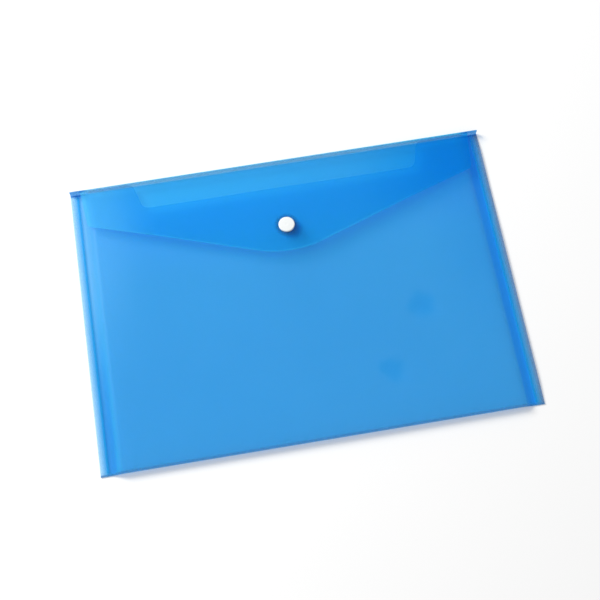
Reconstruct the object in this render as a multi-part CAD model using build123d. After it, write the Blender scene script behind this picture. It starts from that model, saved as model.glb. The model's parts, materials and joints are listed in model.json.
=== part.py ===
from build123d import *
import os

# A document wallet lying closed on a desk, with its front panel and flap upwards.
# X runs along its width, Y from the bottom fold to the flap fold, and Z up from the desk.
# The wallet is one folded film, divided here at its creases and welds, with a riveted press stud.

# Film and pocket
wallet_width = 335.0
wallet_height = 235.0
film = 0.3
pocket_depth = 5.0
border_run = 7.5
seam_width = 7.0
seam_corner_radius = 0.8
weld_line_width = 1.6
weld_line_depth = 0.15
weld_line_margin = 2.5

# Pocket mouth with its thumb notch
mouth_gap = 1.0
notch_floor_width = 221.0
notch_depth = 22.6
notch_end_run = 6.0
notch_radius = 6.0

# Flap and its two creases
flap_inset = 8.5
flap_taper = 3.5
flap_side_depth = 33.5
flap_point_depth = 86.5
flap_point_radius = 75.0
flap_corner_radius = 3.0
flap_root_run = 4.0
flap_rise_run = 38.0
flap_root_clearance = 0.6
crease_clearance = 0.08

# Press stud
stud_setback = 59.6
cap_radius = 6.4
cap_height = 1.5
cap_rim_height = 0.6
cap_dimple_radius = 1.5
cap_dimple_depth = 0.12
back_cap_radius = 5.5
back_cap_height = 0.8
flange_radius = 5.0
flange_height = 0.8
knob_radius = 2.25
knob_height = 1.6
knob_top_inset = 0.5
socket_radius = 5.0
socket_height = 2.4
socket_lip_height = 0.5
socket_web = 0.5
snap_bite = 0.12
snap_clearance = 0.12
snap_gap = 0.15
pin_radius = 0.85
pin_clearance = 0.05
pin_head_radius = 1.3
pin_head_height = 0.25
edge_round = 0.25

# Places that several pieces share
panel_half_width = wallet_width / 2 - seam_width
front_half_width = panel_half_width - border_run
flap_half_width = wallet_width / 2 - flap_inset
bottom_y = -wallet_height / 2
wall_inner_y = bottom_y + film
crease_y = wallet_height / 2 - film / 2
shoulder_y = crease_y - film / 2 - mouth_gap
notch_floor_y = shoulder_y - notch_depth
front_underside = film + pocket_depth
front_face = front_underside + film
flap_root_underside = front_face + flap_root_clearance
flap_underside = front_face + flange_height + snap_gap + socket_height
flap_face = flap_underside + film
back_crease_z = film / 2
flap_crease_z = flap_root_underside + film / 2
crease_reach = film / 2 + crease_clearance
seam_top_y = crease_y - crease_reach
stud_y = wallet_height / 2 - stud_setback
pin_hole_radius = pin_radius + pin_clearance
lip_radius = knob_radius - snap_bite
neck_radius = lip_radius - snap_clearance
cavity_radius = knob_radius + snap_clearance


def rise_edges(run, rise, lift):
    # Two tangent arcs that leave level, climb by rise over run and arrive level, lifted square to the film
    middle = Vector(run / 2, rise / 2)
    radius = (run**2 + rise**2) / (4 * rise)
    square = (Vector(0, radius) - middle).normalized()
    joint = middle + square * lift
    first = TangentArc((0, lift), joint, tangent=(1, 0))
    second = TangentArc((run, rise + lift), joint, tangent=(-1, 0))
    return [first, second]


def rise_face(run, rise):
    # Section of film that climbs from one level to another
    start = Line((0, 0), (0, film))
    end = Line((run, rise), (run, rise + film))
    return make_face(rise_edges(run, rise, 0) + rise_edges(run, rise, film) + [start, end])


def turned(points):
    # Solid of revolution about the press stud's axis, from (radius, height) points
    return Pos(0, stud_y, 0) * revolve(make_face(Plane.XZ * Polyline(points, close=True)), Axis.Z)


def pin_hole(low, high):
    # Punched hole for a rivet pin through a film between two heights
    height = high - low
    return Pos(0, stud_y, (low + high) / 2) * Cylinder(pin_hole_radius, height)


def block(x_low, x_high, y_low, y_high, z_low, z_high):
    size = Box(x_high - x_low, y_high - y_low, z_high - z_low)
    return Pos((x_low + x_high) / 2, (y_low + y_high) / 2, (z_low + z_high) / 2) * size


def back_panel():
    # Flat panel whose top edge is the round outside of the first crease
    panel = block(-panel_half_width, panel_half_width, wall_inner_y, crease_y, 0, film)
    nose = Pos(0, crease_y, back_crease_z) * Rot(0, 90, 0) * Cylinder(film / 2, 2 * panel_half_width)
    return panel + nose


def right_border_plane(y):
    # Section plane of the right border: local X runs inwards from the seam, local Y runs up
    return Plane(origin=(panel_half_width, y, film), x_dir=(-1, 0, 0), z_dir=(0, 1, 0))


def right_border():
    # Film that climbs from the welded seam up to the front panel
    section = right_border_plane(wall_inner_y) * rise_face(border_run, pocket_depth)
    return extrude(section, amount=shoulder_y - wall_inner_y, dir=(0, 1, 0))


def bottom_strip():
    # Low wall of the bottom fold, closed down to the seams at its two ends
    right = [right_border_plane(bottom_y) * edge for edge in rise_edges(border_run, pocket_depth, film)]
    left = [mirror(edge, about=Plane.YZ) for edge in right]
    seam_top = 2 * film
    base = Polyline(
        (-panel_half_width, bottom_y, seam_top),
        (-panel_half_width, bottom_y, 0),
        (panel_half_width, bottom_y, 0),
        (panel_half_width, bottom_y, seam_top),
    )
    top = Line((-front_half_width, bottom_y, front_face), (front_half_width, bottom_y, front_face))
    return extrude(make_face(right + left + [base, top]), amount=film, dir=(0, 1, 0))


def front_panel():
    # Level panel with the thumb notch in its top edge and the stud's hole
    notch_half_floor = notch_floor_width / 2
    notch_half_mouth = notch_half_floor + notch_end_run
    outline = Polygon(
        (-front_half_width, wall_inner_y),
        (front_half_width, wall_inner_y),
        (front_half_width, shoulder_y),
        (notch_half_mouth, shoulder_y),
        (notch_half_floor, notch_floor_y),
        (-notch_half_floor, notch_floor_y),
        (-notch_half_mouth, shoulder_y),
        (-front_half_width, shoulder_y),
        align=None,
    )
    notch_corners = outline.vertices().filter_by(lambda corner: abs(corner.X) < front_half_width - film)
    outline = fillet(notch_corners, notch_radius)
    panel = extrude(Pos(0, 0, front_underside) * outline, amount=film)
    return panel - pin_hole(front_underside, front_face)


def right_seam():
    # Two films fused into one strip, with the sunk line of the welding bar along it
    middle_x = panel_half_width + seam_width / 2
    thickness = 2 * film
    strip = block(panel_half_width, wallet_width / 2, bottom_y, seam_top_y, 0, thickness)
    bottom_corner = strip.edges().filter_by(Axis.Z).group_by(Axis.X)[-1].sort_by(Axis.Y)[0]
    strip = fillet(bottom_corner, seam_corner_radius)
    weld_left = middle_x - weld_line_width / 2
    weld_right = middle_x + weld_line_width / 2
    weld_low_y = bottom_y + weld_line_margin
    weld_high_y = seam_top_y - weld_line_margin
    weld_floor = thickness - weld_line_depth
    return strip - block(weld_left, weld_right, weld_low_y, weld_high_y, weld_floor, thickness)


def fold_strip():
    # Narrow spine between the two creases, upright while the wallet is closed
    half_width = wallet_width / 2
    low = back_crease_z + crease_reach
    high = flap_crease_z - crease_reach
    return block(-half_width, half_width, crease_y - film / 2, crease_y + film / 2, low, high)


def flap_panel():
    # Film that leaves the second crease level, climbs to the press stud's height and ends in a rounded point
    rise = flap_underside - flap_root_underside
    level_start = flap_root_run + flap_rise_run
    root = Pos(flap_root_run / 2, film / 2) * Rectangle(flap_root_run, film)
    nose = Pos(0, film / 2) * Circle(film / 2)
    climb = Pos(flap_root_run, 0) * rise_face(flap_rise_run, rise)
    level_run = flap_point_depth - level_start
    level = Pos(level_start + level_run / 2, rise + film / 2) * Rectangle(level_run, film)
    section_plane = Plane(origin=(0, crease_y, flap_root_underside), x_dir=(0, -1, 0), z_dir=(-1, 0, 0))
    section = section_plane * (root + nose + climb + level)
    curved = extrude(section, amount=flap_half_width, both=True)
    side_half_width = flap_half_width - flap_taper
    fold_y = wallet_height / 2
    outline = Polygon(
        (-flap_half_width, fold_y),
        (-side_half_width, fold_y - flap_side_depth),
        (0, fold_y - flap_point_depth),
        (side_half_width, fold_y - flap_side_depth),
        (flap_half_width, fold_y),
        align=None,
    )
    low_to_high = outline.vertices().sort_by(Axis.Y)
    side_corners = low_to_high[1:3]
    outline = fillet(low_to_high[0], flap_point_radius)
    side_points = [Vector(corner.X, corner.Y, 0) for corner in side_corners]
    for point in side_points:
        outline = fillet(outline.vertices().sort_by_distance(point)[0], flap_corner_radius)
    cutter = extrude(Pos(0, 0, front_face) * outline, amount=flap_face)
    return (curved & cutter) - pin_hole(flap_underside, flap_face)


def stud_cap():
    # Domed disc on the flap, whose pin passes the film and the socket's web and is headed over beneath
    web_underside = flap_underside - socket_web
    head_underside = web_underside - pin_head_height
    top = flap_face + cap_height
    rim = flap_face + cap_rim_height
    shoulder_radius = cap_radius - (cap_height - cap_rim_height)
    shoulder_z = top - cap_dimple_depth
    section = Polyline(
        (cap_dimple_radius, top),
        (0, top - cap_dimple_depth),
        (0, head_underside),
        (pin_head_radius, head_underside),
        (pin_head_radius, web_underside),
        (pin_radius, web_underside),
        (pin_radius, flap_face),
        (cap_radius, flap_face),
        (cap_radius, rim),
    )
    edge = TangentArc((cap_radius, rim), (shoulder_radius, shoulder_z), tangent=(0, 1))
    crown = Line((shoulder_radius, shoulder_z), (cap_dimple_radius, top))
    face = make_face([Plane.XZ * section, Plane.XZ * edge, Plane.XZ * crown])
    return Pos(0, stud_y, 0) * revolve(face, Axis.Z)


def stud_socket():
    # Ring under the flap: a springy lip below, a cavity for the post's knob, and a web that the pin clamps
    mouth = flap_underside - socket_height
    lip_top = mouth + socket_lip_height
    cavity_top = flap_underside - socket_web
    return turned([
        (pin_hole_radius, cavity_top),
        (cavity_radius, cavity_top),
        (cavity_radius, lip_top + snap_clearance),
        (lip_radius, lip_top),
        (lip_radius, mouth + edge_round),
        (lip_radius + edge_round, mouth),
        (socket_radius - edge_round, mouth),
        (socket_radius, mouth + edge_round),
        (socket_radius, flap_underside),
        (pin_hole_radius, flap_underside),
    ])


def stud_post():
    # Flange on the front panel with the necked knob that snaps into the socket
    flange_top = front_face + flange_height
    lip_top = flange_top + snap_gap + socket_lip_height
    knob_top = flange_top + knob_height
    knob_low = lip_top + snap_clearance
    knob_widest = knob_low + (knob_radius - neck_radius)
    head_seat = knob_top - pin_head_height
    head_hole_radius = pin_head_radius + pin_clearance
    return turned([
        (pin_hole_radius, front_face),
        (flange_radius, front_face),
        (flange_radius, flange_top - edge_round),
        (flange_radius - edge_round, flange_top),
        (neck_radius, flange_top),
        (neck_radius, knob_low),
        (knob_radius, knob_widest),
        (knob_radius - knob_top_inset, knob_top),
        (head_hole_radius, knob_top),
        (head_hole_radius, head_seat),
        (pin_hole_radius, head_seat),
    ])


def stud_back_cap():
    # Flat disc inside the pocket, whose pin passes the film and the post and is headed over in the knob
    underside = front_underside - back_cap_height
    knob_top = front_face + flange_height + knob_height
    head_seat = knob_top - pin_head_height
    return turned([
        (0, underside),
        (back_cap_radius - edge_round, underside),
        (back_cap_radius, underside + edge_round),
        (back_cap_radius, front_underside),
        (pin_radius, front_underside),
        (pin_radius, head_seat),
        (pin_head_radius, head_seat),
        (pin_head_radius, knob_top),
        (0, knob_top),
    ])


nodes = {
    "back_panel": back_panel(),
    "bottom_strip": bottom_strip(),
    "front_panel": front_panel(),
    "front_right_border": right_border(),
    "front_left_border": mirror(right_border(), about=Plane.YZ),
    "right_seam": right_seam(),
    "left_seam": mirror(right_seam(), about=Plane.YZ),
    "fold_strip": fold_strip(),
    "flap_panel": flap_panel(),
    "stud_cap": stud_cap(),
    "stud_socket": stud_socket(),
    "stud_post": stud_post(),
    "stud_back_cap": stud_back_cap(),
}

os.makedirs("parts", exist_ok=True)
for name, solid in nodes.items():
    export_step(solid, f"parts/{name}.step")
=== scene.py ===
import bpy
import bmesh
import json
import math
from mathutils import Matrix, Vector, noise


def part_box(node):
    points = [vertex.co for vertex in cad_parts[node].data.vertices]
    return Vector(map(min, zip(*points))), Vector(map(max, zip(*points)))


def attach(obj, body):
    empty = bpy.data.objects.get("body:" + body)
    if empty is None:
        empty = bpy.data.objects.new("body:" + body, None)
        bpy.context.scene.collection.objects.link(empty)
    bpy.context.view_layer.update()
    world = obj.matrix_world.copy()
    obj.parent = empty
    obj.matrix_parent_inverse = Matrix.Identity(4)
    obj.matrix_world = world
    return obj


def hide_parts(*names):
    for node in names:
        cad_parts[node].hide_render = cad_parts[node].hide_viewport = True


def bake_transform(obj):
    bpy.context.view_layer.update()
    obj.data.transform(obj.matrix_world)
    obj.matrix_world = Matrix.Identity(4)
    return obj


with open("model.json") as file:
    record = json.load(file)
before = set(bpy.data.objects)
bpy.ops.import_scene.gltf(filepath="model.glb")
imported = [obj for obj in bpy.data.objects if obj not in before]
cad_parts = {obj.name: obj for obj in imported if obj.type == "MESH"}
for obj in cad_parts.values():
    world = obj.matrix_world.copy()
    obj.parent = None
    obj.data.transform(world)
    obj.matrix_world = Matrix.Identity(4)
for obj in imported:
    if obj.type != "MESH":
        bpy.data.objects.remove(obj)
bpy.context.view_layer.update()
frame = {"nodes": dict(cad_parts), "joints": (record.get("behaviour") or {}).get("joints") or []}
mm = 0.001

# places that the film pieces share, read from the frame
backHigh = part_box("back_panel")[1]
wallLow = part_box("bottom_strip")[0]
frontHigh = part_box("front_panel")[1]
spineLow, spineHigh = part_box("fold_strip")
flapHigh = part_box("flap_panel")[1]
seamLow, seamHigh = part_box("right_seam")
capLow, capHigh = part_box("stud_cap")
creases = {joint["name"]: Vector(joint["pos_m"]) for joint in frame["joints"]}
lowCrease = creases["spine_crease"]
highCrease = creases["flap_crease"]
spineMidZ = (lowCrease.z + highCrease.z) / 2
spineHalf = spineHigh.x
film = spineHigh.y - spineLow.y
panelHalf = backHigh.x
frontHalf = frontHigh.x
fullHalf = seamHigh.x
wallY = wallLow.y + film / 2  # middle of the film, as are the three heights below
backZ = lowCrease.z
frontZ = frontHigh.z - film / 2
flapZ = flapHigh.z - film / 2
stud = Vector(((capLow.x + capHigh.x) / 2, (capLow.y + capHigh.y) / 2))
capRadius = (capHigh.x - capLow.x) / 2


# helpers for cutting, scoring and folding a blank of film

cutTolerance = 1e-7  # a cut that passes a vertex this closely goes through it


def smooth(t):
    t = min(1.0, max(0.0, t))
    return t * t * (3 - 2 * t)


def smoother(t):
    t = min(1.0, max(0.0, t))
    return t * t * t * (t * (6 * t - 15) + 10)


def ripple(x, y, size, seed):
    return noise.noise(Vector((x / size, y / size, seed)))


def cutBlank(corners):
    bm = bmesh.new()
    bm.faces.new([bm.verts.new((x, y, 0)) for x, y in corners])
    bm.normal_update()
    return bm


def roundCorner(bm, place, offset, segments):
    corner = min(bm.verts, key=lambda vert: (vert.co.xy - Vector(place)).length)
    bmesh.ops.bevel(bm, geom=[corner], offset=offset, offset_type="OFFSET", affect="VERTICES",
                    segments=segments, profile=0.5, material=-1, clamp_overlap=False)


def scoreLines(bm, axis, places):
    # cuts straight across the blank, so that it can bend there
    normal = Vector((1, 0, 0)) if axis == "x" else Vector((0, 1, 0))
    for place in places:
        everything = bm.verts[:] + bm.edges[:] + bm.faces[:]
        bmesh.ops.bisect_plane(bm, geom=everything, dist=cutTolerance,
                               plane_co=normal * place, plane_no=normal)


def evenLines(start, length, count):
    return [start + length * i / count for i in range(count + 1)]


def innerLines(low, high, size):
    # lines about that size apart, without the two ends
    count = max(1, round((high - low) / size))
    return evenLines(low, high - low, count)[1:-1]


def bothSides(lines):
    return lines + [-x for x in lines]


def keepFlatMap(bm):
    # the flat blank's own coordinates, in metres, ride along as the piece's UV map
    layer = bm.loops.layers.uv.new("flat")
    for face in bm.faces:
        for loop in face.loops:
            loop[layer].uv = loop.vert.co.xy


def thicken(bm):
    # the folded sheet is the middle of the film
    bm.normal_update()
    for vert, move in [(vert, vert.normal * film / 2) for vert in bm.verts]:
        vert.co += move
    bmesh.ops.solidify(bm, geom=bm.faces[:], thickness=film)
    bmesh.ops.recalc_face_normals(bm, faces=bm.faces[:])


def makePiece(name, bm, materials, sharpAngle=35):
    for face in bm.faces:
        face.smooth = True
    for edge in bm.edges:
        if edge.is_manifold and edge.calc_face_angle() > math.radians(sharpAngle):
            edge.smooth = False
    mesh = bpy.data.meshes.new(name)
    bm.to_mesh(mesh)
    bm.free()
    for material in materials:
        mesh.materials.append(material)
    piece = bpy.data.objects.new(name, mesh)
    bpy.context.scene.collection.objects.link(piece)
    return piece


# helpers for materials

plasticIor = 1.49


def newMaterial(name):
    material = bpy.data.materials.new(name)
    material.use_nodes = True
    material.node_tree.nodes.clear()
    return material, material.node_tree.nodes, material.node_tree.links


def setSurface(nodes, links, shader):
    output = nodes.new("ShaderNodeOutputMaterial")
    links.new(shader, output.inputs["Surface"])


def feed(links, socket, value):
    # a plain value goes on the socket itself, an output is linked to it
    if isinstance(value, (int, float, tuple)):
        socket.default_value = value
    else:
        links.new(value, socket)


def addNoise(nodes, links, place, scale, detail, stretch=None):
    if stretch:
        mapping = nodes.new("ShaderNodeMapping")
        mapping.inputs["Scale"].default_value = stretch
        links.new(place, mapping.inputs["Vector"])
        place = mapping.outputs["Vector"]
    texture = nodes.new("ShaderNodeTexNoise")
    texture.inputs["Scale"].default_value = scale
    texture.inputs["Detail"].default_value = detail
    links.new(place, texture.inputs["Vector"])
    return texture.outputs["Fac"]


def addRange(nodes, links, value, low, high, fromLow=0.0, fromHigh=1.0, kind="LINEAR"):
    spread = nodes.new("ShaderNodeMapRange")
    spread.interpolation_type = kind
    spread.inputs["From Min"].default_value = fromLow
    spread.inputs["From Max"].default_value = fromHigh
    spread.inputs["To Min"].default_value = low
    spread.inputs["To Max"].default_value = high
    links.new(value, spread.inputs["Value"])
    return spread.outputs["Result"]


def addMath(nodes, links, operation, first, second):
    node = nodes.new("ShaderNodeMath")
    node.operation = operation
    feed(links, node.inputs[0], first)
    feed(links, node.inputs[1], second)
    return node.outputs["Value"]


def addMix(nodes, links, factor, first, second, kind="RGBA"):
    node = nodes.new("ShaderNodeMix")
    node.data_type = kind
    links.new(factor, node.inputs["Factor"])
    feed(links, node.inputs["A"], first)
    feed(links, node.inputs["B"], second)
    return node.outputs["Result"]


def addShaderMix(nodes, links, factor, first, second):
    node = nodes.new("ShaderNodeMixShader")
    feed(links, node.inputs["Fac"], factor)
    links.new(first, node.inputs[1])
    links.new(second, node.inputs[2])
    return node.outputs["Shader"]


def addBump(nodes, links, height, strength, distance):
    bump = nodes.new("ShaderNodeBump")
    bump.inputs["Strength"].default_value = strength
    bump.inputs["Distance"].default_value = distance
    links.new(height, bump.inputs["Height"])
    return bump.outputs["Normal"]


# the film's finish, which the pieces of film start from
blueFilm = {
    "solid": (0.0, 0.9, 1.0, 1),  # colour that the pigment scatters
    "clear": (0.819, 0.849, 0.965, 1),  # colour that one face of the film lets through
    "clearDeep": (0.798, 0.837, 0.96, 1),
    "cloudScale": 13.0,  # of the drift from clear to clearDeep
    "share": 0.16,  # share of the light that the pigment catches, seen squarely
    "grazing": 0.5,  # the same, seen at a grazing angle
    "facingBlend": 0.25,
    "down": 0.5,  # part of that share that goes on through the film
    "rough": (0.32, 0.46),
    "roughFrom": (0.1, 0.45),  # spread of grain times streak
    "gloss": 0.5,
    "grainScale": 1700.0,
    "grainStrength": 0.3,
    "grainDepth": 0.02 * mm,
    "streakStretch": (260.0, 5.0, 1.0),
}


def addMask(nodes, links, flat, mark):
    # the mark's strength inside a spot or band of the blank, fading to 0 round it
    # and, where asked, along it or at its ends
    split = nodes.new("ShaderNodeSeparateXYZ")
    links.new(flat, split.inputs["Vector"])
    if "axis" in mark:
        away = addMath(nodes, links, "SUBTRACT", split.outputs[mark["axis"]], mark["at"])
        away = addMath(nodes, links, "ABSOLUTE", away, 0)
    else:
        measure = nodes.new("ShaderNodeVectorMath")
        measure.operation = "DISTANCE"
        measure.inputs[1].default_value = (mark["at"][0], mark["at"][1], 0)
        links.new(flat, measure.inputs[0])
        away = measure.outputs["Value"]
    if "wobble" in mark:
        uneven = addNoise(nodes, links, flat, mark["wobbleScale"], detail=2)
        uneven = addRange(nodes, links, uneven, -mark["wobble"], mark["wobble"])
        away = addMath(nodes, links, "ADD", away, uneven)
    mask = addRange(nodes, links, away, mark["strength"], 0,
                    mark["inner"], mark["outer"], "SMOOTHSTEP")
    for axis, limits in (("Y", mark.get("fade")), ("X", mark.get("ends"))):
        if limits:
            place = addMath(nodes, links, "ABSOLUTE", split.outputs[axis], 0)
            along = addRange(nodes, links, place, 1, 0, *limits, "SMOOTHSTEP")
            mask = addMath(nodes, links, "MULTIPLY", mask, along)
    return mask


def makeFilm(name, look, marks=()):
    # a clear tinted share, and a pigmented satin share that grows towards grazing angles
    material, nodes, links = newMaterial(name)
    mapNode = nodes.new("ShaderNodeUVMap")
    mapNode.uv_map = "flat"
    flat = mapNode.outputs["UV"]
    cloud = addNoise(nodes, links, flat, look["cloudScale"], detail=3)
    grain = addNoise(nodes, links, flat, look["grainScale"], detail=2)
    streak = addNoise(nodes, links, flat, scale=1.0, detail=2, stretch=look["streakStretch"])
    clearColour = addMix(nodes, links, cloud, look["clear"], look["clearDeep"])
    solidColour = look["solid"]
    facing = nodes.new("ShaderNodeLayerWeight")
    facing.inputs["Blend"].default_value = look["facingBlend"]
    share = addRange(nodes, links, facing.outputs["Facing"], look["share"], look["grazing"])
    for mark in marks:
        mask = addMask(nodes, links, flat, mark)
        clearColour = addMix(nodes, links, mask, clearColour, mark["clear"])
        solidColour = addMix(nodes, links, mask, solidColour, mark["solid"])
        share = addMix(nodes, links, mask, share, mark["share"], "FLOAT")
    clear = nodes.new("ShaderNodeBsdfTransparent")
    links.new(clearColour, clear.inputs["Color"])
    uneven = addMath(nodes, links, "MULTIPLY", grain, streak)
    rough = addRange(nodes, links, uneven, *look["rough"], *look["roughFrom"])
    height = addMath(nodes, links, "ADD", grain, streak)
    normal = addBump(nodes, links, height, look["grainStrength"], look["grainDepth"])
    satin = nodes.new("ShaderNodeBsdfPrincipled")
    satin.inputs["IOR"].default_value = plasticIor
    satin.inputs["Specular IOR Level"].default_value = look["gloss"]
    feed(links, satin.inputs["Base Color"], solidColour)
    links.new(rough, satin.inputs["Roughness"])
    links.new(normal, satin.inputs["Normal"])
    through = nodes.new("ShaderNodeBsdfTranslucent")
    feed(links, through.inputs["Color"], solidColour)
    pigment = addShaderMix(nodes, links, look["down"],
                           satin.outputs["BSDF"], through.outputs["BSDF"])
    setSurface(nodes, links, addShaderMix(nodes, links, share, clear.outputs["BSDF"], pigment))
    return material


# side margins, where the front film and the back film lie on each other outside the pocket
sideMargin = {
    "gap": 0.03 * mm,
    "cuts": 6,
    "curl": {"left": 0.2 * mm, "right": 0.8 * mm},
    "curlStart": 1 * mm,
    "curlFade": 20 * mm,  # towards the two ends of the margin
    "curlMean": 0.75,
    "curlSwing": 0.5,
    "curlWave": 45 * mm,
    "curlRow": 0.3,
    "curlSeed": 2.3,
    # painted highlight: the left edge paler, where the light catches it
    "leftEdgeHighlight": {
        "inner": 0.5 * mm, "outer": 6.5 * mm, "strength": 1.0,
        "wobble": 0.6 * mm, "wobbleScale": 50,
        "share": 0.2, "clear": (0.955, 0.975, 0.995, 1), "solid": (0.45, 0.8, 1, 1),
    },
    # painted shadow: a grey line along the right edge, where the curled edge shades the floor
    "rightEdgeShadow": {
        "inner": 0.3 * mm, "outer": 5.5 * mm, "strength": 1.0,
        "wobble": 0.6 * mm, "wobbleScale": 50,
        "share": 0.3, "clear": (0.882, 0.915, 0.975, 1), "solid": (0.27, 0.46, 0.64, 1),
    },
    "slopeShift": 1 * mm,  # of the next five marks, outwards from the middle of the side border
    "slopeWobble": {"wobble": 0.5 * mm, "wobbleScale": 40},
    # painted light: the left side paler towards the top
    "leftSideHighlight": {
        "inner": 3 * mm, "outer": 45 * mm, "strength": 0.6, "fade": (185 * mm, 60 * mm),
        "share": 0.16, "clear": (0.9, 0.908, 0.995, 1), "solid": (0.1, 0.9, 1, 1),
    },
    # painted shade: the right side deeper towards the top
    "rightSideShade": {
        "inner": 3 * mm, "outer": 60 * mm, "strength": 0.5, "fade": (185 * mm, 20 * mm),
        "share": 0.16, "clear": (0.68, 0.8, 0.96, 1), "solid": (0.0, 0.86, 1, 1),
    },
    # painted shade: the left slope darker towards the bottom
    "leftSlopeLowShade": {
        "inner": 2 * mm, "outer": 5 * mm, "strength": 0.9, "fade": (25 * mm, 150 * mm),
        "share": 0.14, "clear": (0.69, 0.785, 0.955, 1), "solid": (0.0, 0.86, 1, 1),
    },
    # painted highlight: the left slope paler towards the top
    "leftSlopeHighlight": {
        "inner": 1.5 * mm, "outer": 6 * mm, "strength": 0.8, "fade": (185 * mm, 75 * mm),
        "share": 0.2, "clear": (0.9, 0.9, 0.98, 1), "solid": (0.25, 0.9, 1, 1),
    },
    # deeper blue on the right slope: the longer path through the sloping film, plus painted shade
    # on the side away from the light
    "rightSlopeDeepShade": {
        "inner": 2 * mm, "outer": 5 * mm, "strength": 0.9,
        "share": 0.12, "clear": (0.525, 0.789, 0.995, 1), "solid": (0.0, 0.86, 1, 1),
    },
}


def marginLines(look):
    return bothSides(evenLines(panelHalf, fullHalf - panelHalf, look["cuts"])[:-1])


def marginCurl(x, y, look):
    start = look["curlStart"]
    out = max(0.0, abs(x) - panelHalf - start) / (fullHalf - panelHalf - start)
    side = "right" if x > 0 else "left"
    held = smooth((lowCrease.y - y) / look["curlFade"]) * smooth((y - wallY) / look["curlFade"])
    swing = look["curlSwing"] * ripple(y, look["curlRow"], look["curlWave"], look["curlSeed"])
    return look["curl"][side] * out * out * (look["curlMean"] + swing) * held


# marks of painted light and shade along the two side borders
def slopeMarks(look):
    middle = (frontHalf + panelHalf) / 2 + look["slopeShift"]
    return [
        {"axis": "X", "at": -middle, **look["leftSideHighlight"]},
        {"axis": "X", "at": middle, **look["rightSideShade"]},
        {"axis": "X", "at": -middle, **look["leftSlopeLowShade"], **look["slopeWobble"]},
        {"axis": "X", "at": -middle, **look["leftSlopeHighlight"], **look["slopeWobble"]},
        {"axis": "X", "at": middle, **look["rightSlopeDeepShade"], **look["slopeWobble"]},
    ]


# marks of painted highlight on the left edge and painted shadow on the right edge
def edgeMarks(look):
    return [
        {"axis": "X", "at": -fullHalf, **look["leftEdgeHighlight"]},
        {"axis": "X", "at": fullHalf, **look["rightEdgeShadow"]},
    ]


# front film: bottom wall, side borders, front panel and side margins in one blank
frontFilm = {
    "foldRadius": 1.6 * mm,
    "foldCuts": 4,
    "borderCuts": 18,
    "borderSoft": (4.5 * mm, 1 * mm),  # how far the side border's slope runs on, in and out
    "gridSize": 7 * mm,
    "notchDepth": 22.6 * mm,
    "notchFloorHalf": 110.5 * mm,
    "notchEndRun": 6 * mm,
    "notchRound": 4.6 * mm,
    "notchSegments": 6,
    "sag": 1.2 * mm,
    "sagRun": 70 * mm,
    "rippleSize": 75 * mm,
    "rippleHeight": 0.35 * mm,
    "rippleRun": 25 * mm,
    "rippleSeed": 1.7,
    "studHold": 12 * mm,  # the stud keeps the film level so far round it
    "studRun": 50 * mm,
    "contacts": (  # where the front film touches the back film
        {"at": (92 * mm, -23.5 * mm), "inner": 5 * mm, "outer": 14 * mm},
        {"at": (59.5 * mm, -71 * mm), "inner": 4 * mm, "outer": 13 * mm},
    ),
    "contactLook": {
        "strength": 1.0, "wobble": 6 * mm, "wobbleScale": 90,
        "share": 0.18, "clear": (0.704, 0.824, 0.955, 1), "solid": (0.0, 0.84, 1, 1),
    },
    # painted light: a brighter, purer blue on the front film under the flap
    "mouthPaintedLight": {
        "inner": 20 * mm, "outer": 95 * mm, "strength": 1.0,
        "share": 0.16, "clear": (0.811, 0.849, 0.995, 1), "solid": (0.0, 0.9, 1, 1),
    },
    # painted shade: the bottom wall darker and greyer
    "wallShadeLook": {
        "inner": 2.4 * mm, "outer": 4.2 * mm, "strength": 0.8,
        "share": 0.35, "clear": (0.819, 0.874, 0.955, 1), "solid": (0.16, 0.45, 0.7, 1),
    },
}


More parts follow.
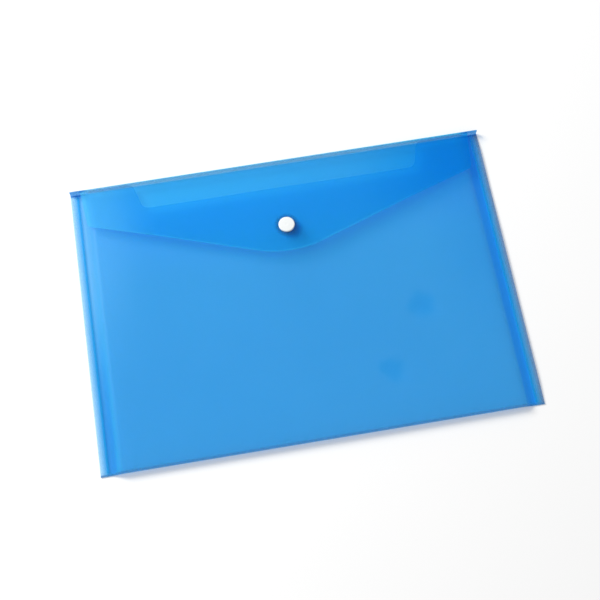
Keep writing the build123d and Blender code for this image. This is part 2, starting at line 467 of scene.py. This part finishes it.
def buildFrontFilm(look):
    radius = look["foldRadius"]
    quarter = radius * math.pi / 2
    straight = frontZ - backZ - 2 * radius
    wallLength = 2 * quarter + straight
    panelStart = wallY + radius
    mouth = wallLength + frontHigh.y - panelStart
    notchFloor = mouth - look["notchDepth"]
    floorHalf = look["notchFloorHalf"]
    mouthHalf = floorHalf + look["notchEndRun"]
    bm = cutBlank([
        (-fullHalf, 0), (fullHalf, 0), (fullHalf, mouth), (mouthHalf, mouth),
        (floorHalf, notchFloor), (-floorHalf, notchFloor), (-mouthHalf, mouth), (-fullHalf, mouth),
    ])
    for sign in (-1, 1):
        for corner in ((sign * mouthHalf, mouth), (sign * floorHalf, notchFloor)):
            roundCorner(bm, corner, look["notchRound"], look["notchSegments"])
    borderLow = frontHalf - look["borderSoft"][0]
    borderHigh = panelHalf + look["borderSoft"][1]
    borderRun = borderHigh - borderLow
    borderLines = evenLines(borderLow, borderRun, look["borderCuts"])
    scoreLines(bm, "x", bothSides(borderLines) + marginLines(sideMargin))
    scoreLines(bm, "x", innerLines(-borderLow, borderLow, look["gridSize"]))
    scoreLines(bm, "y", evenLines(0, quarter, look["foldCuts"])[1:])
    scoreLines(bm, "y", evenLines(quarter + straight, quarter, look["foldCuts"]))
    scoreLines(bm, "y", innerLines(wallLength, mouth, look["gridSize"]))
    keepFlatMap(bm)
    lowShare = (film + sideMargin["gap"]) / (frontZ - backZ)
    for vert in bm.verts:
        x, along = vert.co.x, vert.co.y
        if along < quarter:
            turn = along / radius
            y = panelStart - radius * math.sin(turn)
            z = backZ + radius - radius * math.cos(turn)
        elif along < quarter + straight:
            y = wallY
            z = backZ + radius + along - quarter
        elif along < wallLength:
            turn = (along - quarter - straight) / radius
            y = panelStart - radius * math.cos(turn)
            z = frontZ - radius + radius * math.sin(turn)
        else:
            y = panelStart + along - wallLength
            z = frontZ
            inX, inY = frontHalf - abs(x), along - wallLength
            near = smooth(inX / look["rippleRun"]) * smooth(inY / look["rippleRun"])
            far = smooth(inX / look["sagRun"]) * smooth(inY / look["sagRun"])
            away = (Vector((x, y)) - stud).length
            loose = smooth((away - look["studHold"]) / look["studRun"])
            wave = look["rippleHeight"] * ripple(x, y, look["rippleSize"], look["rippleSeed"])
            z += loose * (near * wave - far * look["sag"])
        rise = smoother((borderHigh - abs(x)) / borderRun)
        z = backZ + (z - backZ) * (lowShare + (1 - lowShare) * rise)
        vert.co = (x, y, z + marginCurl(x, y, sideMargin))
    thicken(bm)
    marks = [{"axis": "Y", "at": mouth, **look["mouthPaintedLight"]}]
    marks += slopeMarks(sideMargin) + edgeMarks(sideMargin)
    marks.append({"axis": "Y", "at": wallLength / 2, **look["wallShadeLook"]})
    for contact in look["contacts"]:
        x, y = contact["at"]
        marks.append({**contact, **look["contactLook"], "at": (x, y - panelStart + wallLength)})
    return makePiece("frontFilm", bm, [makeFilm("frontBlueFilm", blueFilm, marks)])


# the two creases of the flap, stressed to a greyer blue, and darkened as painted shade along the
# folds
creaseFold = {
    "radius": 0.7 * mm,
    "cuts": 5,
    "look": {
        "inner": 1 * mm, "outer": 2.6 * mm, "ends": (150 * mm, 158 * mm),
        "share": 0.34, "clear": (0.66, 0.75, 0.85, 1), "solid": (0.18, 0.37, 0.5, 1),
    },
    "lowStrength": 0.15,
    "highStrength": 0.72,
    "highShift": 2.1 * mm,  # the upper crease's grey lies this far onto the flap
    "endShadeLook": {  # darker ends of the strip, where it is pinched flat: painted shade at the corners
        "inner": 4.2 * mm, "outer": 5.4 * mm, "strength": 0.9, "ends": (160 * mm, 150 * mm),
        "share": 0.2, "clear": (0.33, 0.59, 0.86, 1), "solid": (0.08, 0.44, 0.7, 1),
    },
}


# back film: back panel, side margins, lower crease and lower half of the fold strip in one blank
backFilm = {
    "gridSize": 9 * mm,
    # painted shade: the back film deeper towards the right side
    "rightShadeLook": {
        "inner": 10 * mm, "outer": 260 * mm, "strength": 0.85, "fade": (215 * mm, 150 * mm),
        "share": 0.16, "clear": (0.725, 0.769, 0.925, 1), "solid": (0.0, 0.86, 1, 1),
    },
}


def buildBackFilm(look):
    radius = creaseFold["radius"]
    quarter = radius * math.pi / 2
    start = wallY + frontFilm["foldRadius"]
    panelLength = lowCrease.y - radius - start
    top = panelLength + quarter + spineMidZ - backZ - radius
    bm = cutBlank([(-fullHalf, 0), (fullHalf, 0), (fullHalf, top), (-fullHalf, top)])
    gridLines = innerLines(-panelHalf, panelHalf, look["gridSize"])
    scoreLines(bm, "x", gridLines + marginLines(sideMargin))
    scoreLines(bm, "y", innerLines(0, panelLength, look["gridSize"]))
    scoreLines(bm, "y", evenLines(panelLength, quarter, creaseFold["cuts"]))
    keepFlatMap(bm)
    for vert in bm.verts:
        x, along = vert.co.x, vert.co.y
        if along < panelLength:
            y = start + along
            z = backZ + marginCurl(x, y, sideMargin)
        elif along < panelLength + quarter:
            turn = (along - panelLength) / radius
            y = lowCrease.y - radius + radius * math.sin(turn)
            z = backZ + radius - radius * math.cos(turn)
        else:
            y = lowCrease.y
            z = backZ + radius + along - panelLength - quarter
        vert.co = (x, y, z)
    thicken(bm)
    fold = panelLength + quarter / 2
    marks = [{"axis": "X", "at": fullHalf, **look["rightShadeLook"]}] + edgeMarks(sideMargin) + [
        {"axis": "Y", "at": fold, "strength": creaseFold["lowStrength"], **creaseFold["look"]},
        {"axis": "Y", "at": top, **creaseFold["endShadeLook"]},
    ]
    return makePiece("backFilm", bm, [makeFilm("backBlueFilm", blueFilm, marks)])


# flap film: upper half of the fold strip, upper crease and flap in one blank
flapFilm = {
    "inset": 8.5 * mm,
    "taper": 3.5 * mm,
    "sideDepth": 33.5 * mm,
    "pointDepth": 86.5 * mm,
    "pointRound": 25.2 * mm,
    "pointSegments": 24,
    "cornerRound": 2.5 * mm,
    "cornerSegments": 5,
    "rootRun": 4 * mm,
    "riseRun": 38 * mm,
    "droop": 0.75,  # share of its rise that the flap loses towards its sides
    "droopFrom": 95 * mm,
    "droopRun": 60 * mm,
    "gridX": 5 * mm,
    "gridY": 4 * mm,
    "rippleSize": 60 * mm,
    "rippleHeight": 0.3 * mm,
    "rippleRun": 30 * mm,
    "rippleSeed": 4.1,
    "studHold": 8 * mm,
    "studRun": 40 * mm,
    "rimWidth": 1.2 * mm,
    "rimLift": 0.06 * mm,
    "look": {
        "share": 0.12, "down": 0.25, "solid": (0.0, 0.64, 1.0, 1),
        "clear": (0.73, 0.948, 1, 1), "clearDeep": (0.71, 0.938, 1, 1),
    },
    # cut rim of the flap, paler: painted highlight where the edge catches the light
    "rimHighlightLook": {"share": 0.18, "solid": (0.05, 0.7, 1, 1)},
    # painted highlight: the flap paler towards its left side
    "leftHighlightLook": {
        "inner": 5 * mm, "outer": 60 * mm, "strength": 0.85,
        "share": 0.25, "clear": (0.87, 0.95, 1, 1), "solid": (0.12, 0.78, 1, 1),
    },
    # painted shade: the flap deeper towards its right side
    "rightShadeLook": {
        "inner": 5 * mm, "outer": 110 * mm, "strength": 0.75,
        "share": 0.1, "clear": (0.3, 0.88, 0.985, 1), "solid": (0.0, 0.48, 0.95, 1),
    },
    "pinchShadeLook": {  # darker ring round the stud's cap, measured from its rim: pressed film and painted shade
        "inner": 0.4 * mm, "outer": 4.4 * mm, "strength": 0.8,
        "share": 0.36, "clear": (0.42, 0.62, 0.8, 1), "solid": (0.03, 0.24, 0.42, 1),
    },
    "studShadowLook": {  # painted shadow of the stud to its lower right, placed from its middle
        "at": (4.2 * mm, -4.6 * mm), "inner": 3 * mm, "outer": 10 * mm, "strength": 0.85,
        "share": 0.34, "clear": (0.3, 0.55, 0.84, 1), "solid": (0.0, 0.17, 0.46, 1),
    },
}


def buildFlapFilm(look):
    radius = creaseFold["radius"]
    quarter = radius * math.pi / 2
    upright = highCrease.z - radius - spineMidZ
    root = upright + quarter
    flapStart = highCrease.y - radius  # where the film leaves the crease, level
    shift = root + flapStart - spineHigh.y  # from depth below the fold to length along the blank
    rootHalf = spineHalf - look["inset"]
    sideHalf = rootHalf - look["taper"]
    side = look["sideDepth"] + shift
    point = look["pointDepth"] + shift
    bm = cutBlank([
        (-spineHalf, 0), (spineHalf, 0), (spineHalf, upright), (rootHalf, root), (sideHalf, side),
        (0, point), (-sideHalf, side), (-rootHalf, root), (-spineHalf, upright),
    ])
    roundCorner(bm, (0, point), look["pointRound"], look["pointSegments"])
    for sign in (-1, 1):
        roundCorner(bm, (sign * sideHalf, side), look["cornerRound"], look["cornerSegments"])
    bmesh.ops.inset_region(bm, faces=bm.faces[:], thickness=look["rimWidth"],
                           use_boundary=True, use_even_offset=True)
    scoreLines(bm, "x", innerLines(-spineHalf, spineHalf, look["gridX"]))
    scoreLines(bm, "y", evenLines(upright, quarter, creaseFold["cuts"]))
    scoreLines(bm, "y", innerLines(root, point, look["gridY"]))
    keepFlatMap(bm)
    rimFrom = side - look["cornerRound"]
    rimVerts = {vert for vert in bm.verts if vert.is_boundary and vert.co.y > rimFrom}
    for face in bm.faces:
        if any(vert in rimVerts for vert in face.verts):
            face.material_index = 1
    for vert in bm.verts:
        x, along = vert.co.x, vert.co.y
        if along < upright:
            y, z = highCrease.y, spineMidZ + along
        elif along < root:
            turn = (along - upright) / radius
            y = flapStart + radius * math.cos(turn)
            z = highCrease.z - radius + radius * math.sin(turn)
        else:
            depth = along - root
            y = flapStart - depth
            share = 1 - look["droop"] * smooth((abs(x) - look["droopFrom"]) / look["droopRun"])
            rise = share * smooth((depth - look["rootRun"]) / look["riseRun"])
            away = (Vector((x, y)) - stud).length
            loose = smooth(depth / look["rippleRun"])
            loose *= smooth((away - look["studHold"]) / look["studRun"])
            wave = look["rippleHeight"] * ripple(x, y, look["rippleSize"], look["rippleSeed"])
            z = highCrease.z + (flapZ - highCrease.z) * rise + loose * wave
        if vert in rimVerts:
            z += look["rimLift"]
        vert.co = (x, y, z)
    bmesh.ops.reverse_faces(bm, faces=bm.faces[:])
    thicken(bm)
    sides = [
        {"axis": "X", "at": -sideHalf, **look["leftHighlightLook"]},
        {"axis": "X", "at": sideHalf, **look["rightShadeLook"]},
    ]
    fold = upright + quarter / 2 + creaseFold["highShift"]
    pinchShade, studShadow = look["pinchShadeLook"], look["studShadowLook"]
    studX, studY = stud.x, root + flapStart - stud.y
    marks = sides + [
        {"axis": "Y", "at": fold, "strength": creaseFold["highStrength"], **creaseFold["look"]},
        {"axis": "Y", "at": 0, **creaseFold["endShadeLook"]},
        {**studShadow, "at": (studX + studShadow["at"][0], studY - studShadow["at"][1])},
        {**pinchShade, "at": (studX, studY),
         "inner": capRadius + pinchShade["inner"], "outer": capRadius + pinchShade["outer"]},
    ]
    flapLook = {**blueFilm, **look["look"]}
    sheet = makeFilm("flapBlueFilm", flapLook, marks)
    rim = makeFilm("flapCutRimHighlight", {**flapLook, **look["rimHighlightLook"]}, sides)
    return makePiece("flapFilm", bm, [sheet, rim])


# knurled weld lines between the pocket and its side margins
weldLine = {
    "inset": 0.4 * mm,
    "width": 1.6 * mm,
    "endMargin": 2.5 * mm,
    "ribPitch": 1.5 * mm,
    "ribMargin": 0.3 * mm,  # plain strip along each side of the ribs
    "low": 0.03 * mm,
    "high": 0.1 * mm,
    "lift": 0.02 * mm,  # above the front film
    "look": {
        "share": 0.2, "rough": (0.2, 0.34),
        "clear": (0.882, 0.894, 0.975, 1), "clearDeep": (0.84, 0.864, 0.965, 1),
    },
}


def buildWeld(name, sign, look):
    inner = panelHalf + look["inset"]
    outer = inner + look["width"]
    lowY = seamLow.y + look["endMargin"]
    highY = seamHigh.y - look["endMargin"]
    margin = look["ribMargin"]
    halfPitch = look["ribPitch"] / 2
    bm = cutBlank([(inner, lowY), (outer, lowY), (outer, highY), (inner, highY)])
    scoreLines(bm, "x", [inner + margin, outer - margin])
    scoreLines(bm, "y", innerLines(lowY, highY, halfPitch))
    keepFlatMap(bm)
    bmesh.ops.solidify(bm, geom=bm.faces[:], thickness=look["low"])
    bmesh.ops.recalc_face_normals(bm, faces=bm.faces[:])
    rest = backZ + 1.5 * film + sideMargin["gap"] + look["lift"]
    rows = round((highY - lowY) / halfPitch)
    for vert in bm.verts:
        x, y = vert.co.x, vert.co.y
        z = rest + look["low"] + vert.co.z + marginCurl(sign * x, y, sideMargin)
        row = round((y - lowY) / (highY - lowY) * rows)
        onTop = vert.co.z > -look["low"] / 2
        if onTop and inner + margin / 2 < x < outer - margin / 2:
            z += (look["high"] - look["low"]) * (row % 2)
        vert.co.z = z
    if sign < 0:
        bmesh.ops.scale(bm, vec=(-1, 1, 1), verts=bm.verts[:])
        bmesh.ops.recalc_face_normals(bm, faces=bm.faces[:])
    material = makeFilm(name + "WeldedFilm", {**blueFilm, **look["look"]})
    return makePiece(name + "WeldLine", bm, [material])


# white plastic of the press stud
whitePlastic = {
    "colour": (0.94, 0.97, 0.97, 1),
    "shade": (0.89, 0.93, 0.93, 1),
    "rough": (0.26, 0.4),
    "mottleScale": 420,
    "mottleStrength": 0.15,
    "mottleDepth": 0.04 * mm,
}


def makeWhitePlastic(look):
    material, nodes, links = newMaterial("studPlastic")
    place = nodes.new("ShaderNodeTexCoord")
    mottle = addNoise(nodes, links, place.outputs["Object"], look["mottleScale"], detail=4)
    normal = addBump(nodes, links, mottle, look["mottleStrength"], look["mottleDepth"])
    colour = addMix(nodes, links, mottle, look["colour"], look["shade"])
    rough = addRange(nodes, links, mottle, *look["rough"])
    plastic = nodes.new("ShaderNodeBsdfPrincipled")
    plastic.inputs["IOR"].default_value = plasticIor
    links.new(colour, plastic.inputs["Base Color"])
    links.new(rough, plastic.inputs["Roughness"])
    links.new(normal, plastic.inputs["Normal"])
    setSurface(nodes, links, plastic.outputs["BSDF"])
    return material


print("front film")
front = buildFrontFilm(frontFilm)
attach(front, "pocket")
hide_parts("front_panel", "front_left_border", "front_right_border", "bottom_strip")

print("back film")
back = buildBackFilm(backFilm)
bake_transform(back)
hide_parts("back_panel", "fold_strip")

print("flap film")
flap = buildFlapFilm(flapFilm)
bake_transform(flap)
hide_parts("flap_panel")

print("weld lines")
for name, sign in (("left", -1), ("right", 1)):
    weld = buildWeld(name, sign, weldLine)
    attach(weld, "pocket")
    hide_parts(name + "_seam")

print("press stud")
studPlastic = makeWhitePlastic(whitePlastic)
for node in ("stud_cap", "stud_socket", "stud_post", "stud_back_cap"):
    frame["nodes"][node].data.materials.clear()
    frame["nodes"][node].data.materials.append(studPlastic)

# pale floor that shows white to the camera and keeps the shadow
paleFloor = {"size": 8.0, "drop": 0.25 * mm, "colour": (0.98, 0.98, 0.98, 1), "glow": 0.065}


def buildFloor(look):
    bm = bmesh.new()
    bmesh.ops.create_grid(bm, x_segments=1, y_segments=1, size=look["size"] / 2)
    bmesh.ops.translate(bm, vec=(0, 0, -look["drop"]), verts=bm.verts[:])
    material, nodes, links = newMaterial("paleFloor")
    matt = nodes.new("ShaderNodeBsdfDiffuse")
    matt.inputs["Color"].default_value = look["colour"]
    rays = nodes.new("ShaderNodeLightPath").outputs
    seen = addMath(nodes, links, "MAXIMUM", rays["Is Camera Ray"], rays["Is Glossy Ray"])
    seen = addMath(nodes, links, "MAXIMUM", seen, rays["Is Transmission Ray"])
    glow = nodes.new("ShaderNodeEmission")
    links.new(addMath(nodes, links, "MULTIPLY", seen, look["glow"]), glow.inputs["Strength"])
    both = nodes.new("ShaderNodeAddShader")
    links.new(matt.outputs["BSDF"], both.inputs[0])
    links.new(glow.outputs["Emission"], both.inputs[1])
    setSurface(nodes, links, both.outputs["Shader"])
    makePiece("floor", bm, [material])


studioLight = {
    "sky": 0.47,
    "skyColour": (1, 1, 1, 1),
    "keyAt": (-1.5, 1.29, 1.36),
    "keySize": 1.05,
    "keyPower": 58,
    "clearBounces": 32,  # enough for all the films that lie on each other
    "diffuseBounces": 8,
}


def buildLight(look):
    world = bpy.data.worlds.new("studio")
    bpy.context.scene.world = world
    world.use_nodes = True
    sky = world.node_tree.nodes["Background"]
    sky.inputs["Color"].default_value = look["skyColour"]
    sky.inputs["Strength"].default_value = look["sky"]
    lamp = bpy.data.lights.new("key", "AREA")
    lamp.size = look["keySize"]
    lamp.energy = look["keyPower"]
    key = bpy.data.objects.new("key", lamp)
    key.location = look["keyAt"]
    key.rotation_euler = (-Vector(look["keyAt"])).to_track_quat("-Z", "Y").to_euler()
    bpy.context.scene.collection.objects.link(key)
    bpy.context.scene.cycles.transparent_max_bounces = look["clearBounces"]
    bpy.context.scene.cycles.diffuse_bounces = look["diffuseBounces"]


photoCamera = {
    "at": (-0.04857, -0.33591, 0.8533),
    "aim": (0.00027, -0.0034, 0.0),
    "roll": 1.31,  # in degrees
    "sensor": 36,
    "focal": 1177.9,  # in pixels of the picture
    "picture": 600,  # its width in pixels
}


def buildCamera(look):
    camera = bpy.data.cameras.new("photoCamera")
    camera.sensor_width = look["sensor"]
    camera.lens = look["sensor"] * look["focal"] / look["picture"]
    eye = bpy.data.objects.new("photoCamera", camera)
    at = Vector(look["at"])
    towards = (Vector(look["aim"]) - at).to_track_quat("-Z", "Y").to_matrix()
    turn = Matrix.Rotation(math.radians(-look["roll"]), 3, "Z")
    eye.matrix_world = Matrix.Translation(at) @ (towards @ turn).to_4x4()
    bpy.context.scene.collection.objects.link(eye)
    bpy.context.scene.camera = eye


print("floor, light and camera")
buildFloor(paleFloor)
buildLight(studioLight)
buildCamera(photoCamera)
bpy.context.scene.view_settings.view_transform = "Standard"
